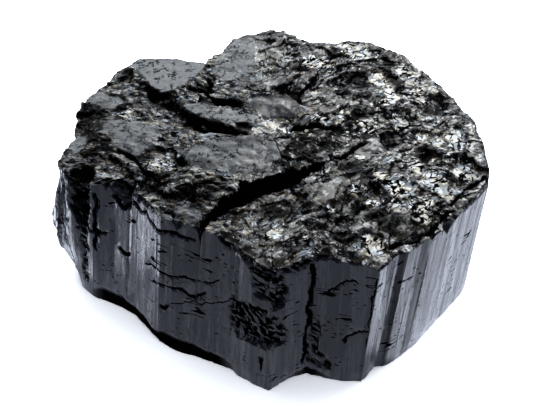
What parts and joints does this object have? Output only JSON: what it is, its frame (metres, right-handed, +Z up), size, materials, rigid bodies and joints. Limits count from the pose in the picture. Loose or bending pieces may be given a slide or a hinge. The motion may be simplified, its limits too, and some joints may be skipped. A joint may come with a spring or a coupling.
{
  "type": "black tourmaline crystal",
  "caption": "Broken piece of black tourmaline: a thick fluted crystal with a stepped, splintered top, resting on its flat base.",
  "frame": {"origin": "under the middle of the crystal's box, on the flat base it rests on", "axes": "+Z up, square to the base and along the crystal's flutes; +X to the right of the face with the deep groove, along the longest side; +Y to the back, where the top is highest"},
  "size_m": [0.0781, 0.063, 0.0355],
  "materials": {
    "schorl": "glassy black mineral: striated satin walls, flat grey cleavage plates and glittering splintered fracture"
  },
  "bodies": {
    "root": {"tourmaline_crystal": "schorl"}
  },
  "joints": []
}
